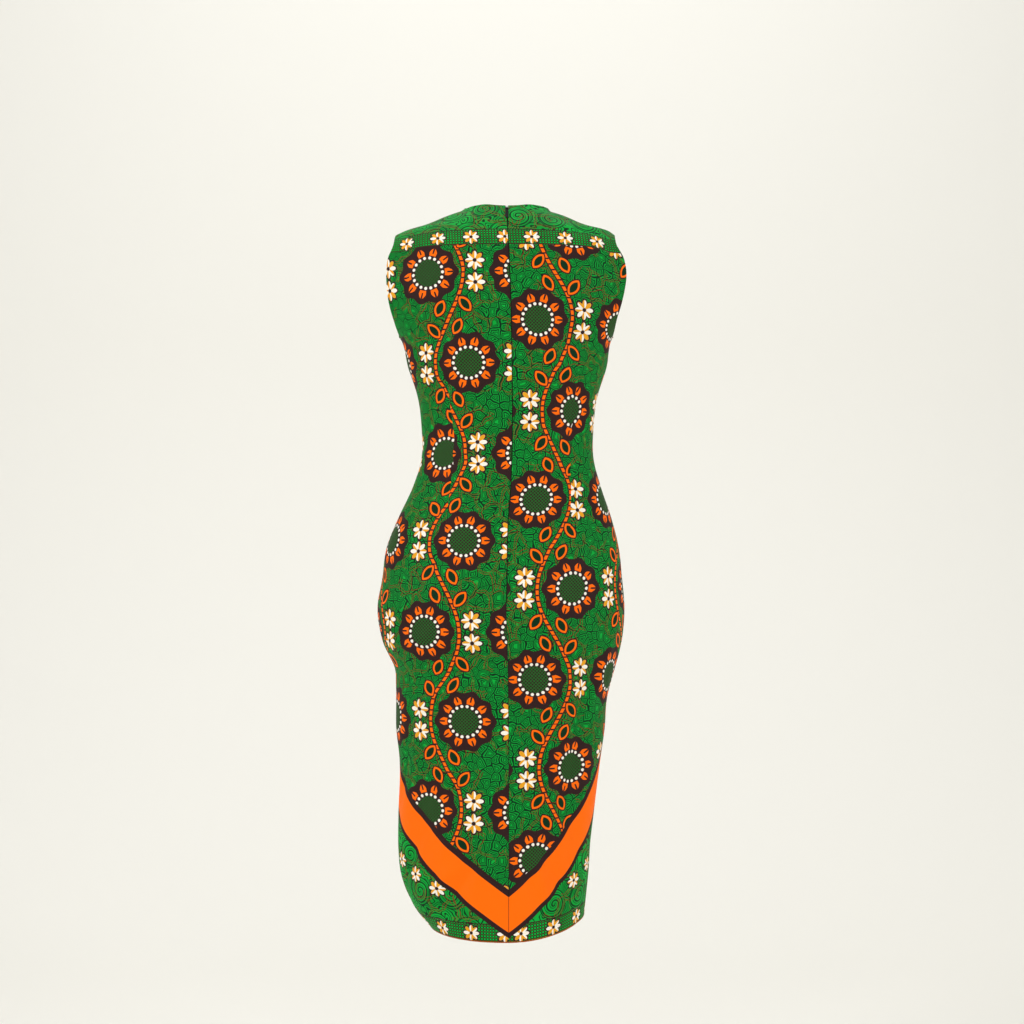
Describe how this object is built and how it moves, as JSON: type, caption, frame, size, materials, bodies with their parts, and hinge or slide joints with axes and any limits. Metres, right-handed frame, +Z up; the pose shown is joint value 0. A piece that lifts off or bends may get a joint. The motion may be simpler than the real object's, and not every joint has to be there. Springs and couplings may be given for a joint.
{
  "type": "sleeveless sheath dress",
  "caption": "Fitted sleeveless midi sheath dress of wax print cotton, hollow, with a round neck and a closed centre back zip.",
  "frame": {"origin": "midway between the two neck points, where the shoulder seams meet the neckline", "axes": "+Z up along the hanging dress, -Y out of its front, +Y out of its back, +X to the wearer's left"},
  "size_m": [0.3732, 0.2676, 1.0929],
  "materials": {
    "wax_print_cotton": "crisp plain-weave cotton with a wax print",
    "zip_tape": "woven black tape",
    "zip_enamel": "satin black enamel"
  },
  "bodies": {
    "dress": {"front_panel": "wax_print_cotton", "back_panel_left": "wax_print_cotton", "back_panel_right": "wax_print_cotton", "zip_tape": "zip_tape", "zip_slider": "zip_enamel"},
    "pull_tab": {"zip_pull": "zip_enamel"}
  },
  "joints": [
    {"name": "pull_swing", "type": "hinge", "parent": "dress", "child": "pull_tab", "pos_m": [0.00067, 0.05773, -0.01164], "axis": [1, 0, 0], "range_deg": [0, 165]}
  ]
}
